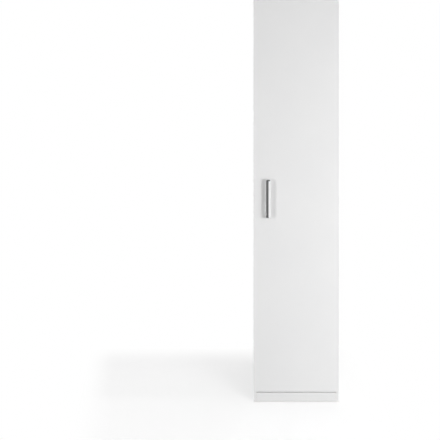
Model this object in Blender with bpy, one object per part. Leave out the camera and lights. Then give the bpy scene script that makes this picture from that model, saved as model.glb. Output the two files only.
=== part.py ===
"""Tall one-door storage cabinet, modelled at its real size in metres, with Z up.

The front faces -Y and the door is hung on the right, at +X.
The origin is on the floor, in the middle of the cabinet's box, handle included.
"""

import math

import bmesh
import bpy
from mathutils import Vector

# Cabinet
CABINET_WIDTH = 0.500
CABINET_HEIGHT = 2.360
CARCASS_DEPTH = 0.560
PANEL_THICKNESS = 0.016
PANEL_EDGE_RADIUS = 0.0008
PLINTH_HEIGHT = 0.058
FRONT_PLINTH_GAP = 0.0048
REAR_PLINTH_SETBACK = 0.030

# Clearances
SEAT_GAP = 0.0003
CUT_OVERRUN = 0.002

# Back panels and the profile that joins them
BACK_THICKNESS = 0.003
BACK_SETBACK = 0.012
GROOVE_DEPTH = 0.008
JOINER_HEIGHT = 0.024
JOINER_WALL = 0.001
JOINER_WEB = 0.0015

# Shelves and their pins
SHELVES_PER_HALF = 2
SHELF_COLLAR_CLEARANCE = 0.0005
SHELF_FRONT_SETBACK = 0.020
SHELF_BACK_CLEARANCE = 0.003
PIN_HOLE_RADIUS = 0.0025
PIN_HOLE_DEPTH = 0.010
PIN_HOLE_PITCH = 0.032
PIN_HOLES_EACH_WAY = 1
PIN_EDGE_DISTANCE = 0.037
PIN_REACH = 0.009
PIN_COLLAR_RIM = 0.0016
PIN_COLLAR_THICKNESS = 0.0012
PIN_END_CHAMFER = 0.0004

# Floor glides
GLIDE_RADIUS = 0.007
GLIDE_THICKNESS = 0.0018
GLIDE_EDGE = 0.0006
GLIDE_STUD_RADIUS = 0.0025
GLIDE_STUD_LENGTH = 0.012
GLIDE_END_DISTANCE = 0.040

# Door
DOOR_THICKNESS = 0.016
DOOR_GAP = 0.0025
DOOR_SIDE_REVEAL = 0.0015
DOOR_TOP_REVEAL = 0.003
DOOR_BOTTOM_REVEAL = 0.0125
DOOR_EDGE_RADIUS = 0.001
BUMPER_RADIUS = 0.005
BUMPER_EDGE = 0.0006
BUMPER_END_DISTANCE = 0.060

# Handle
HANDLE_HOLE_SPACING = 0.224
HANDLE_WIDTH = 0.026
HANDLE_PROJECTION = 0.030
HANDLE_FRONT_BULGE = 0.0040
HANDLE_BACK_BULGE = 0.0030
HANDLE_BEND_RADIUS = 0.016
HANDLE_EDGE_DISTANCE = 0.088
HANDLE_CENTRE_HEIGHT = 1.191
HANDLE_SECTION_ROUNDNESS_SHARE = 2.6
SCREW_RADIUS = 0.002
SCREW_DEPTH_IN_HANDLE = 0.008
SCREW_HOLE_RADIUS = 0.0025
SCREW_HEAD_RADIUS = 0.0042
SCREW_HEAD_HEIGHT = 0.0024
SCREW_HEAD_EDGE = 0.0008
SCREW_SLOT_WIDTH = 0.0010
SCREW_SLOT_DEPTH = 0.0012

# Hinges, in plan: X from the right side panel's inner face, Y from its front edge
HINGE_END_DISTANCE = 0.100
HINGE_SHELF_DISTANCE = 0.068
REAR_PIVOT_UNDER_WEB = 0.0092
REAR_PIVOT_SETBACK = 0.0090
NOSE_PIVOT_UNDER_WEB = 0.0042
NOSE_PIVOT_SETBACK = 0.0015
CUP_PIVOT_WALL_DISTANCE = 0.0055
CUP_PIVOT_DEPTH = 0.0035
OUTER_LINK_END_STEP = 0.0036
OUTER_LINK_END_DEPTH = 0.0037
LINK_HALF_GAP = 0.0005
LINK_THICKNESS = 0.0072
LINK_HALF_WIDTH = 0.0012
LINK_FLOOR_CLEARANCE = 0.0013
REAR_EYE_RADIUS = 0.0024
NOSE_EYE_RADIUS = 0.0022
CUP_EYE_RADIUS = 0.0018
HINGE_PIN_RADIUS = 0.0011

# Routes of the two gooseneck links between their eyes: each row is the share of the way
# across to the eye in the cup, the share of the way down from that eye to the lowest
# level in the cup, and the share of the half width
INNER_LINK_SHARES = ((0.01, -0.11, 1.75), (0.10, 0.44, 1.6), (0.34, 0.82, 1.2), (0.74, 1.0, 1.0),
                     (0.96, 0.75, 1.1))
OUTER_LINK_SHARES = ((-0.06, -0.14, 1.2), (0.03, 0.46, 1.1), (0.48, 0.79, 1.0), (0.65, 0.67, 1.0))

# Hinge cup
CUP_RADIUS = 0.0175
CUP_DEPTH = 0.0115
CUP_WALL = 0.001
CUP_EDGE_DISTANCE = 0.0030
CUP_LIP = 0.0012
CUP_FLANGE = 0.001
CUP_WING_OFFSET = 0.0095
CUP_WING_WIDTH = 0.0130
CUP_WING_LENGTH = 0.0600
CUP_WING_ROUNDING = 0.0040
CUP_SCREW_SPACING = 0.0480
CUP_EAR_CLEARANCE = 0.0005
CUP_EAR_THICKNESS = 0.0025
CUP_EAR_BORE_DEPTH = 0.0020
CUP_EAR_RIM = 0.0012
CUP_EAR_LENGTH = 0.0070
HINGE_SCREW_HOLE_RADIUS = 0.0021

# Hinge arm
ARM_WALL = 0.0014
ARM_SIDE_CLEARANCE = 0.0006
ARM_HEIGHT = 0.0172
ARM_LENGTH = 0.0620
ARM_WEB_START = 0.0130
ARM_SKIRT = 0.0097
ARM_SKIRT_START = 0.0210
ARM_SHOULDER = 0.0060
ARM_PIVOT_RADIUS = 0.0030
ARM_NOSE_RADIUS = 0.0024
ARM_SLOT_RADIUS = 0.0026
ARM_SLOT_END_DISTANCE = 0.0120

# Hinge mounting plate
PLATE_FLANGE = 0.0020
PLATE_WING_HALF_LENGTH = 0.0260
PLATE_WING_WIDTH = 0.0120
PLATE_WING_SETBACK = 0.0370
PLATE_WING_ROUNDING = 0.0040
PLATE_SCREW_SPACING = 0.0320
PLATE_RIDGE_START = 0.0230
PLATE_RIDGE_END = 0.0590
PLATE_RIDGE_EDGE = 0.0012

# Steps round a full turn
FINE_STEPS = 32
MEDIUM_STEPS = 16
COARSE_STEPS = 10
CORNER_STEPS = 4
BEND_STEPS = 8
EDGE_STEPS = 2

# Places worked out from the sizes above
HALF_WIDTH = CABINET_WIDTH / 2
INNER_HALF_WIDTH = HALF_WIDTH - PANEL_THICKNESS
FRONT_BUILD_UP = DOOR_GAP + DOOR_THICKNESS + HANDLE_PROJECTION
FRONT_Y = FRONT_BUILD_UP - (CARCASS_DEPTH + FRONT_BUILD_UP) / 2
BACK_Y = FRONT_Y + CARCASS_DEPTH
BACK_PANEL_Y = BACK_Y - BACK_SETBACK - BACK_THICKNESS
FOOT_Z = GLIDE_THICKNESS + SEAT_GAP
FLOOR_TOP = PLINTH_HEIGHT + PANEL_THICKNESS
CEILING_Z = CABINET_HEIGHT - PANEL_THICKNESS
MIDDLE_Z = (FLOOR_TOP + CEILING_Z - PANEL_THICKNESS) / 2
DOOR_BACK_Y = FRONT_Y - DOOR_GAP
DOOR_FRONT_Y = DOOR_BACK_Y - DOOR_THICKNESS
DOOR_BOTTOM_Z = PLINTH_HEIGHT + DOOR_BOTTOM_REVEAL
DOOR_TOP_Z = CABINET_HEIGHT - DOOR_TOP_REVEAL
DOOR_EDGE = PANEL_THICKNESS - DOOR_SIDE_REVEAL
CUP_CENTRE_X = DOOR_EDGE - CUP_EDGE_DISTANCE - CUP_RADIUS
CUP_FLOOR_Y = -DOOR_GAP - CUP_DEPTH + CUP_WALL
LINK_OUTER_SIDE = LINK_HALF_GAP + LINK_THICKNESS
CUP_EAR_INNER_SIDE = LINK_OUTER_SIDE + CUP_EAR_CLEARANCE
CUP_EAR_OUTER_SIDE = CUP_EAR_INNER_SIDE + CUP_EAR_THICKNESS
ARM_INNER_HALF_WIDTH = LINK_OUTER_SIDE + ARM_SIDE_CLEARANCE
ARM_OUTER_HALF_WIDTH = ARM_INNER_HALF_WIDTH + ARM_WALL
INNER_PIVOT = Vector((REAR_PIVOT_UNDER_WEB - ARM_HEIGHT, REAR_PIVOT_SETBACK))
OUTER_PIVOT = Vector((NOSE_PIVOT_UNDER_WEB - ARM_HEIGHT, NOSE_PIVOT_SETBACK))
CUP_PIVOT = Vector((CUP_CENTRE_X + CUP_RADIUS - CUP_PIVOT_WALL_DISTANCE, -DOOR_GAP - CUP_PIVOT_DEPTH))
OUTER_LINK_END = Vector((CUP_PIVOT.x - OUTER_LINK_END_STEP, -DOOR_GAP - OUTER_LINK_END_DEPTH))
HANDLE_X = HANDLE_EDGE_DISTANCE - HALF_WIDTH
PIN_FRONT_Y = FRONT_Y + PIN_EDGE_DISTANCE
PIN_BACK_Y = BACK_PANEL_Y - PIN_EDGE_DISTANCE
PIN_RADIUS = PIN_HOLE_RADIUS - SEAT_GAP


def remove_everything():
    for old in list(bpy.data.objects):
        bpy.data.objects.remove(old, do_unlink=True)


def material(name, colour, roughness, metallic):
    made = bpy.data.materials.new(name)
    made.use_nodes = True
    shader = made.node_tree.nodes["Principled BSDF"]
    shader.inputs["Base Color"].default_value = (*colour, 1.0)
    shader.inputs["Roughness"].default_value = roughness
    shader.inputs["Metallic"].default_value = metallic
    made.diffuse_color = (*colour, 1.0)
    return made


def new_object(name, mesh, location, finish=None, parent=None):
    """Place a mesh at a world location, under a parent that only moves it."""
    made = bpy.data.objects.new(name, mesh)
    bpy.context.scene.collection.objects.link(made)
    made.location = Vector(location)
    if parent is not None:
        made.parent = parent
        made.location -= parent.location
    if finish is not None and not mesh.materials:
        mesh.materials.append(finish)
    return made


def axis_empty(name, location):
    made = bpy.data.objects.new(name, None)
    bpy.context.scene.collection.objects.link(made)
    made.location = location
    return made


def mesh_from(name, vertices, faces):
    mesh = bpy.data.meshes.new(name)
    mesh.from_pydata([tuple(vertex) for vertex in vertices], [], faces)
    mesh.update()
    return mesh


def shade_round(mesh):
    mesh.shade_smooth()
    mesh.set_sharp_from_angle(angle=math.radians(35))


def box_mesh(name, low, high):
    corners = [(x, y, z) for x in (low[0], high[0]) for y in (low[1], high[1])
               for z in (low[2], high[2])]
    faces = [(0, 1, 3, 2), (4, 6, 7, 5), (0, 4, 5, 1), (2, 3, 7, 6), (0, 2, 6, 4), (1, 5, 7, 3)]
    return mesh_from(name, corners, faces)


def arc(centre, radius, start, end, steps):
    """Points along an arc between two angles in degrees, both ends included."""
    points = []
    for step in range(steps + 1):
        angle = math.radians(start + (end - start) * step / steps)
        points.append((centre[0] + radius * math.cos(angle), centre[1] + radius * math.sin(angle)))
    return points


def circle(centre, radius, steps):
    return arc(centre, radius, 0, 360, steps)[:-1]


def rounded_rectangle(low, high, radius):
    corners = [((high[0] - radius, high[1] - radius), 0), ((low[0] + radius, high[1] - radius), 90),
               ((low[0] + radius, low[1] + radius), 180), ((high[0] - radius, low[1] + radius), 270)]
    points = []
    for centre, start in corners:
        points += arc(centre, radius, start, start + 90, CORNER_STEPS)
    return points


def on_axis(axis, across, up, along):
    """A point from two cross coordinates and one along the axis, keeping the turning sense."""
    if axis == "X":
        return (along, across, up)
    if axis == "Y":
        return (up, along, across)
    return (across, up, along)


def prism_mesh(name, outline, low, high, axis="Z"):
    """Extrude an outline, listed anticlockwise about the axis, from low to high."""
    count = len(outline)
    vertices = [on_axis(axis, a, b, low) for a, b in outline]
    vertices += [on_axis(axis, a, b, high) for a, b in outline]
    faces = [tuple(reversed(range(count))), tuple(range(count, 2 * count))]
    for index in range(count):
        following = (index + 1) % count
        faces.append((index, following, count + following, count + index))
    return mesh_from(name, vertices, faces)


def turned_mesh(name, profile, steps, axis="Z"):
    """Turn a profile of (radius, height) pairs, which starts and ends on the axis."""
    vertices = []
    rings = []
    for radius, height in profile:
        ring = []
        count = steps if radius > 0 else 1
        for step in range(count):
            angle = 2 * math.pi * step / steps
            ring.append(len(vertices))
            vertices.append(on_axis(axis, radius * math.cos(angle), radius * math.sin(angle), height))
        rings.append(ring)
    faces = []
    for lower, upper in zip(rings, rings[1:]):
        for step in range(steps):
            following = (step + 1) % steps
            corners = [lower[step % len(lower)], lower[following % len(lower)],
                       upper[following % len(upper)], upper[step % len(upper)]]
            faces.append(tuple(dict.fromkeys(corners)))
    mesh = mesh_from(name, vertices, faces)
    shade_round(mesh)
    return mesh


def joined_mesh(name, meshes):
    """One mesh that holds several separate ones, for use as a cutter."""
    work = bmesh.new()
    for mesh in meshes:
        work.from_mesh(mesh)
        bpy.data.meshes.remove(mesh)
    joined = bpy.data.meshes.new(name)
    work.to_mesh(joined)
    work.free()
    return joined


def moved_mesh(mesh, offset):
    for vertex in mesh.vertices:
        vertex.co += Vector(offset)
    return mesh


def round_cutter(centre, radius, low, high, axis, steps):
    """A cylinder whose centre is given by its two cross coordinates."""
    return prism_mesh("cutter", circle(centre, radius, steps), low, high, axis)


def combine(target, mesh, operation="DIFFERENCE"):
    """Cut a mesh out of the target, or unite it with the target."""
    tool = bpy.data.objects.new(target.name + "_" + operation.lower(), mesh)
    bpy.context.scene.collection.objects.link(tool)
    tool.parent = target
    tool.hide_render = True
    tool.display_type = "WIRE"
    change = target.modifiers.new(operation.title(), "BOOLEAN")
    change.operation = operation
    change.solver = "EXACT"
    change.object = tool


def round_edges(target, radius):
    bevel = target.modifiers.new("Rounded edges", "BEVEL")
    bevel.width = radius
    bevel.segments = EDGE_STEPS
    bevel.limit_method = "ANGLE"


def settled_mesh(target):
    """The mesh of an object after its modifiers; the object and its cutters are removed."""
    bpy.context.view_layer.update()
    graph = bpy.context.evaluated_depsgraph_get()
    mesh = bpy.data.meshes.new_from_object(target.evaluated_get(graph))
    mesh.name = target.name
    for tool in list(target.children):
        bpy.data.objects.remove(tool, do_unlink=True)
    bpy.data.objects.remove(target, do_unlink=True)
    shade_round(mesh)
    return mesh


def board(name, low, high, finish, parent=None, radius=PANEL_EDGE_RADIUS):
    """A flat board between two world corners, with its origin at its centre."""
    centre = (Vector(low) + Vector(high)) / 2
    half = (Vector(high) - Vector(low)) / 2
    made = new_object(name, box_mesh(name, -half, half), centre, finish, parent)
    if radius > 0:
        round_edges(made, radius)
    return made


def world_cutter(target, centre, mesh):
    """Cut with a mesh that is given in world coordinates."""
    combine(target, moved_mesh(mesh, -Vector(centre)))


def shelf_levels():
    """Underside heights of the loose shelves, with equal openings in each half."""
    levels = []
    halves = [(FLOOR_TOP, MIDDLE_Z), (MIDDLE_Z + PANEL_THICKNESS, CEILING_Z)]
    for low, high in halves:
        opening = (high - low - SHELVES_PER_HALF * PANEL_THICKNESS) / (SHELVES_PER_HALF + 1)
        for index in range(SHELVES_PER_HALF):
            levels.append(low + (index + 1) * opening + index * PANEL_THICKNESS)
    return levels


def pin_heights():
    return [level - SEAT_GAP - PIN_RADIUS for level in shelf_levels()]


def hinge_heights():
    """Two hinges near the door's ends and two just clear of the shelves nearest its thirds."""
    levels = shelf_levels()
    below = levels[SHELVES_PER_HALF - 1] + PANEL_THICKNESS + HINGE_SHELF_DISTANCE
    above = levels[SHELVES_PER_HALF] - HINGE_SHELF_DISTANCE
    return [DOOR_BOTTOM_Z + HINGE_END_DISTANCE, below, above, DOOR_TOP_Z - HINGE_END_DISTANCE]


def glide_places():
    front = FRONT_Y + GLIDE_END_DISTANCE
    back = BACK_Y - GLIDE_END_DISTANCE
    middle = HALF_WIDTH - PANEL_THICKNESS / 2
    return {"front_left": (-middle, front), "front_right": (middle, front),
            "rear_left": (-middle, back), "rear_right": (middle, back)}


def side_panel_holes(side, inner_x):
    """Cutters for the blind pin holes, the back groove and the two glide studs."""
    deep_x = inner_x + side * PIN_HOLE_DEPTH
    free_x = inner_x - side * CUT_OVERRUN
    cutters = []
    for height in pin_heights():
        for index in range(-PIN_HOLES_EACH_WAY, PIN_HOLES_EACH_WAY + 1):
            for y in (PIN_FRONT_Y, PIN_BACK_Y):
                centre = (y, height + index * PIN_HOLE_PITCH)
                cutters.append(round_cutter(centre, PIN_HOLE_RADIUS, min(deep_x, free_x),
                                            max(deep_x, free_x), "X", COARSE_STEPS))
    groove_x = sorted((inner_x + side * GROOVE_DEPTH, free_x))
    groove_low = (groove_x[0], BACK_PANEL_Y - SEAT_GAP, -CUT_OVERRUN)
    groove_high = (groove_x[1], BACK_Y - BACK_SETBACK + SEAT_GAP, CABINET_HEIGHT + CUT_OVERRUN)
    cutters.append(box_mesh("groove", groove_low, groove_high))
    for x, y in glide_places().values():
        if x * side > 0:
            cutters.append(round_cutter((x, y), GLIDE_STUD_RADIUS + SEAT_GAP, -CUT_OVERRUN,
                                        FOOT_Z + GLIDE_STUD_LENGTH, "Z", COARSE_STEPS))
    return joined_mesh("side_cutters", cutters)


def make_side_panel(name, side, finish):
    outer_x = side * HALF_WIDTH
    inner_x = side * INNER_HALF_WIDTH
    low = (min(outer_x, inner_x), FRONT_Y, FOOT_Z)
    high = (max(outer_x, inner_x), BACK_Y, CABINET_HEIGHT)
    panel = board(name, low, high, finish)
    world_cutter(panel, panel.location, side_panel_holes(side, inner_x))


def make_cross_panels(finish):
    """The boards fixed between the two sides."""
    left = -INNER_HALF_WIDTH + SEAT_GAP
    right = INNER_HALF_WIDTH - SEAT_GAP
    back_face = BACK_PANEL_Y - SEAT_GAP
    joiner_face = back_face - JOINER_WALL - SEAT_GAP
    top = board("top_panel", (left, FRONT_Y, CEILING_Z), (right, BACK_Y, CABINET_HEIGHT), finish)
    groove_low = (left - CUT_OVERRUN, BACK_PANEL_Y - SEAT_GAP, CEILING_Z - CUT_OVERRUN)
    groove_high = (right + CUT_OVERRUN, BACK_PANEL_Y + BACK_THICKNESS + SEAT_GAP,
                   CEILING_Z + GROOVE_DEPTH)
    world_cutter(top, top.location, box_mesh("groove", groove_low, groove_high))
    board("bottom_panel", (left, FRONT_Y, PLINTH_HEIGHT), (right, back_face, FLOOR_TOP), finish)
    board("middle_shelf", (left, FRONT_Y, MIDDLE_Z),
          (right, joiner_face, MIDDLE_Z + PANEL_THICKNESS), finish)
    board("plinth_front", (left, FRONT_Y, FOOT_Z),
          (right, FRONT_Y + PANEL_THICKNESS, PLINTH_HEIGHT - FRONT_PLINTH_GAP), finish)
    rear = back_face - REAR_PLINTH_SETBACK
    board("plinth_rear", (left, rear - PANEL_THICKNESS, FOOT_Z),
          (right, rear, PLINTH_HEIGHT - SEAT_GAP), finish)


def make_back(board_finish, profile_finish):
    """Two thin back panels in the side grooves, and the H-shaped strip between them."""
    reach = INNER_HALF_WIDTH + GROOVE_DEPTH - SEAT_GAP
    rear_y = BACK_PANEL_Y + BACK_THICKNESS
    joint_z = MIDDLE_Z + PANEL_THICKNESS / 2
    web = JOINER_WEB / 2
    board("back_panel_lower", (-reach, BACK_PANEL_Y, PLINTH_HEIGHT),
          (reach, rear_y, joint_z - web - SEAT_GAP), board_finish, radius=0)
    board("back_panel_upper", (-reach, BACK_PANEL_Y, joint_z + web + SEAT_GAP),
          (reach, rear_y, CEILING_Z + GROOVE_DEPTH - SEAT_GAP), board_finish, radius=0)
    inner = BACK_THICKNESS / 2 + SEAT_GAP
    outer = inner + JOINER_WALL
    tall = JOINER_HEIGHT / 2
    outline = [(-outer, -tall), (-inner, -tall), (-inner, -web), (inner, -web), (inner, -tall),
               (outer, -tall), (outer, tall), (inner, tall), (inner, web), (-inner, web),
               (-inner, tall), (-outer, tall)]
    half = INNER_HALF_WIDTH - SEAT_GAP
    mesh = prism_mesh("back_panel_joiner", outline, -half, half, "X")
    new_object("back_panel_joiner", mesh, (0, BACK_PANEL_Y + BACK_THICKNESS / 2, joint_z),
               profile_finish)


def pin_profile():
    """A stem in the hole, a collar against the panel and the stub that carries the shelf."""
    stem = PIN_RADIUS
    collar = PIN_RADIUS + PIN_COLLAR_RIM
    chamfer = PIN_END_CHAMFER
    deep = -PIN_HOLE_DEPTH + SEAT_GAP
    collar_end = SEAT_GAP + PIN_COLLAR_THICKNESS
    return [(0, deep), (stem - chamfer, deep), (stem, deep + chamfer), (stem, SEAT_GAP),
            (collar, SEAT_GAP), (collar, collar_end), (stem, collar_end),
            (stem, PIN_REACH - chamfer), (stem - chamfer, PIN_REACH), (0, PIN_REACH)]


def make_shelves(board_finish, pin_finish):
    side = INNER_HALF_WIDTH - SEAT_GAP - PIN_COLLAR_THICKNESS - SHELF_COLLAR_CLEARANCE
    front = FRONT_Y + SHELF_FRONT_SETBACK
    back = BACK_PANEL_Y - SHELF_BACK_CLEARANCE
    pin_mesh = turned_mesh("shelf_pin", pin_profile(), COARSE_STEPS, "X")
    corners = {"front_left": (-1, PIN_FRONT_Y), "front_right": (1, PIN_FRONT_Y),
               "rear_left": (-1, PIN_BACK_Y), "rear_right": (1, PIN_BACK_Y)}
    for number, (level, height) in enumerate(zip(shelf_levels(), pin_heights()), 1):
        board(f"shelf_{number}", (-side, front, level), (side, back, level + PANEL_THICKNESS),
              board_finish)
        for corner, (direction, y) in corners.items():
            place = (direction * INNER_HALF_WIDTH, y, height)
            pin = new_object(f"shelf_{number}_pin_{corner}", pin_mesh, place, pin_finish)
            pin.rotation_euler.z = math.pi if direction > 0 else 0


def make_glides(finish):
    radius = GLIDE_RADIUS
    stud = GLIDE_STUD_RADIUS
    top = GLIDE_THICKNESS
    tip = FOOT_Z + GLIDE_STUD_LENGTH - SEAT_GAP
    profile = [(0, 0), (radius - GLIDE_EDGE, 0), (radius, GLIDE_EDGE), (radius, top), (stud, top),
               (stud, tip - GLIDE_EDGE), (stud - GLIDE_EDGE, tip), (0, tip)]
    mesh = turned_mesh("floor_glide", profile, MEDIUM_STEPS)
    for corner, (x, y) in glide_places().items():
        new_object(f"floor_glide_{corner}", mesh, (x, y, 0), finish)


def make_door(finish, axis):
    low = (-HALF_WIDTH + DOOR_SIDE_REVEAL, DOOR_FRONT_Y, DOOR_BOTTOM_Z)
    high = (HALF_WIDTH - DOOR_SIDE_REVEAL, DOOR_BACK_Y, DOOR_TOP_Z)
    door = board("door_panel", low, high, finish, axis, DOOR_EDGE_RADIUS)
    cutters = []
    bore_floor = DOOR_BACK_Y - CUP_DEPTH - SEAT_GAP
    for height in hinge_heights():
        centre = (height, INNER_HALF_WIDTH + CUP_CENTRE_X)
        cutters.append(round_cutter(centre, CUP_RADIUS + SEAT_GAP, bore_floor,
                                    DOOR_BACK_Y + CUT_OVERRUN, "Y", FINE_STEPS))
    for height in handle_screw_heights():
        cutters.append(round_cutter((height, HANDLE_X), SCREW_HOLE_RADIUS,
                                    DOOR_FRONT_Y - CUT_OVERRUN, DOOR_BACK_Y + CUT_OVERRUN,
                                    "Y", COARSE_STEPS))
    centre = (Vector(low) + Vector(high)) / 2
    world_cutter(door, centre, joined_mesh("door_cutters", cutters))


def make_bumpers(finish, axis):
    """Soft pads between the door's free edge and the left side panel's front edge."""
    thickness = DOOR_GAP - 2 * SEAT_GAP
    profile = [(0, 0), (BUMPER_RADIUS, 0), (BUMPER_RADIUS, thickness - BUMPER_EDGE),
               (BUMPER_RADIUS - BUMPER_EDGE, thickness), (0, thickness)]
    mesh = turned_mesh("door_bumper", profile, MEDIUM_STEPS, "Y")
    x = -HALF_WIDTH + PANEL_THICKNESS / 2
    y = DOOR_BACK_Y + SEAT_GAP
    heights = {"lower": DOOR_BOTTOM_Z + BUMPER_END_DISTANCE, "upper": DOOR_TOP_Z - BUMPER_END_DISTANCE}
    for name, height in heights.items():
        new_object(f"door_bumper_{name}", mesh, (x, y, height), finish, axis)


def handle_screw_heights():
    half = HANDLE_HOLE_SPACING / 2
    return [HANDLE_CENTRE_HEIGHT - half, HANDLE_CENTRE_HEIGHT + half]


def handle_path():
    """Centre line of the bow as (outward, height, outward direction, upward direction)."""
    reach = HANDLE_PROJECTION - HANDLE_FRONT_BULGE
    half = HANDLE_HOLE_SPACING / 2
    bend = HANDLE_BEND_RADIUS
    lower = [(SEAT_GAP, -half, 1.0, 0.0)]
    for step in range(BEND_STEPS + 1):
        angle = math.pi / 2 * step / BEND_STEPS
        outward = reach - bend + bend * math.sin(angle)
        height = -half + bend - bend * math.cos(angle)
        lower.append((outward, height, math.cos(angle), math.sin(angle)))
    upper = [(outward, -height, -along, up) for outward, height, along, up in reversed(lower)]
    return lower + upper


def handle_section():
    """A rounded strap section as (sideways, towards the front) pairs."""
    power = 2 / HANDLE_SECTION_ROUNDNESS_SHARE
    points = []
    for step in range(MEDIUM_STEPS):
        angle = 2 * math.pi * step / MEDIUM_STEPS
        bulge = HANDLE_FRONT_BULGE if math.sin(angle) > 0 else HANDLE_BACK_BULGE
        sideways = math.copysign(abs(math.cos(angle)) ** power, math.cos(angle))
        forward = math.copysign(abs(math.sin(angle)) ** power, math.sin(angle))
        points.append((HANDLE_WIDTH / 2 * sideways, bulge * forward))
    return points


def make_handle(finish, axis):
    """Sweep the strap section along the bow, then drill both feet."""
    section = handle_section()
    count = len(section)
    vertices = []
    for outward, height, along, up in handle_path():
        for sideways, forward in section:
            vertices.append((sideways, -(outward + forward * up), height - forward * along))
    rows = len(vertices) // count
    faces = [tuple(reversed(range(count))), tuple(range((rows - 1) * count, rows * count))]
    for row in range(rows - 1):
        for index in range(count):
            following = (index + 1) % count
            first = row * count
            faces.append((first + index, first + following,
                          first + count + following, first + count + index))
    mesh = mesh_from("handle", vertices, faces)
    work = bmesh.new()
    work.from_mesh(mesh)
    bmesh.ops.recalc_face_normals(work, faces=work.faces)
    work.to_mesh(mesh)
    work.free()
    shade_round(mesh)
    place = (HANDLE_X, DOOR_FRONT_Y, HANDLE_CENTRE_HEIGHT)
    handle = new_object("handle", mesh, place, finish, axis)
    half = HANDLE_HOLE_SPACING / 2
    holes = [round_cutter((height, 0), SCREW_RADIUS + SEAT_GAP, -SCREW_DEPTH_IN_HANDLE - SEAT_GAP,
                          CUT_OVERRUN, "Y", COARSE_STEPS) for height in (-half, half)]
    combine(handle, joined_mesh("handle_holes", holes))


def make_handle_screws(finish, axis):
    """Pan-head screws from inside the door into the feet of the handle."""
    tip = -DOOR_THICKNESS - SCREW_DEPTH_IN_HANDLE
    head = SCREW_HEAD_RADIUS
    top = SEAT_GAP + SCREW_HEAD_HEIGHT
    profile = [(0, tip), (SCREW_RADIUS - PIN_END_CHAMFER, tip), (SCREW_RADIUS, tip + PIN_END_CHAMFER),
               (SCREW_RADIUS, SEAT_GAP), (head, SEAT_GAP), (head, top - SCREW_HEAD_EDGE),
               (head - SCREW_HEAD_EDGE, top), (0, top)]
    body = new_object("handle_screw", turned_mesh("handle_screw", profile, MEDIUM_STEPS, "Y"), (0, 0, 0))
    half_slot = SCREW_SLOT_WIDTH / 2
    arm = head / 2
    slot_floor = top - SCREW_SLOT_DEPTH
    slot = [(half_slot, half_slot), (half_slot, arm), (-half_slot, arm), (-half_slot, half_slot),
            (-arm, half_slot), (-arm, -half_slot), (-half_slot, -half_slot), (-half_slot, -arm),
            (half_slot, -arm), (half_slot, -half_slot), (arm, -half_slot), (arm, half_slot)]
    combine(body, prism_mesh("slot", slot, slot_floor, top + CUT_OVERRUN, "Y"))
    mesh = settled_mesh(body)
    for name, height in zip(("lower", "upper"), handle_screw_heights()):
        new_object(f"handle_screw_{name}", mesh, (HANDLE_X, DOOR_BACK_Y, height), finish, axis)


def link_route(pivot, cup_end, shares):
    """Centre line of a gooseneck link, as rows of a plan point and a half width."""
    lowest = CUP_FLOOR_Y + LINK_FLOOR_CLEARANCE + LINK_HALF_WIDTH
    route = []
    for across, down, width in shares:
        x = pivot.x + across * (cup_end.x - pivot.x)
        y = cup_end.y + down * (lowest - cup_end.y)
        route.append((Vector((x, y)), width * LINK_HALF_WIDTH))
    return route


def link_outline(pivot, eye_radius, cup_end, shares):
    """The route widened to a plate, with a round eye at each end."""
    route = [(pivot, eye_radius)] + link_route(pivot, cup_end, shares) + [(cup_end, CUP_EYE_RADIUS)]
    left = []
    right = []
    for before, here, after in zip(route, route[1:], route[2:]):
        arriving = (here[0] - before[0]).normalized()
        leaving = (after[0] - here[0]).normalized()
        along = (arriving + leaving).normalized()
        sideways = Vector((-along.y, along.x)) * here[1] / along.dot(arriving)
        left.append(tuple(here[0] + sideways))
        right.append(tuple(here[0] - sideways))
    first = math.degrees(math.atan2(*reversed(route[1][0] - route[0][0])))
    last = math.degrees(math.atan2(*reversed(route[-1][0] - route[-2][0])))
    start_cap = arc(pivot, eye_radius, first + 90, first + 270, 2 * CORNER_STEPS)
    end_cap = arc(cup_end, CUP_EYE_RADIUS, last - 90, last + 90, 2 * CORNER_STEPS)
    return start_cap + right + end_cap + list(reversed(left))


def link_mesh(name, outline, pivot, cup_end, direction, arm_reach, cup_reach):
    """A flat link on one side of the hinge's middle, with a pin through each eye."""
    inner = direction * LINK_HALF_GAP
    outer = direction * LINK_OUTER_SIDE
    plate = prism_mesh(name, outline, min(inner, outer), max(inner, outer))
    body = new_object(name, plate, (0, 0, 0))
    middle = (inner + outer) / 2
    for centre, reach in ((pivot, arm_reach), (cup_end, cup_reach)):
        far = direction * reach
        pin = round_cutter(centre, HINGE_PIN_RADIUS, min(middle, far), max(middle, far),
                           "Z", COARSE_STEPS)
        combine(body, pin, "UNION")
    return settled_mesh(body)


def cup_flange_outline():
    """A round lip with a screw wing above and below, offset away from the door's edge."""
    rim = CUP_RADIUS + CUP_LIP
    near = -CUP_WING_OFFSET + CUP_WING_WIDTH / 2
    far = -CUP_WING_OFFSET - CUP_WING_WIDTH / 2
    tall = CUP_WING_LENGTH / 2
    turn = CUP_WING_ROUNDING
    near_angle = math.degrees(math.acos(near / rim))
    far_angle = math.degrees(math.acos(far / rim))
    points = arc((0, 0), rim, -near_angle, near_angle, FINE_STEPS // 2)
    points += arc((near - turn, tall - turn), turn, 0, 90, CORNER_STEPS)
    points += arc((far + turn, tall - turn), turn, 90, 180, CORNER_STEPS)
    points += arc((0, 0), rim, far_angle, 360 - far_angle, CORNER_STEPS)
    points += arc((far + turn, -tall + turn), turn, 180, 270, CORNER_STEPS)
    points += arc((near - turn, -tall + turn), turn, 270, 360, CORNER_STEPS)
    return points


def as_plan(outline):
    """An outline drawn as (X, Z), in the order that an extrusion along Y reads it."""
    return [(z, x) for x, z in reversed(outline)]


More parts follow.
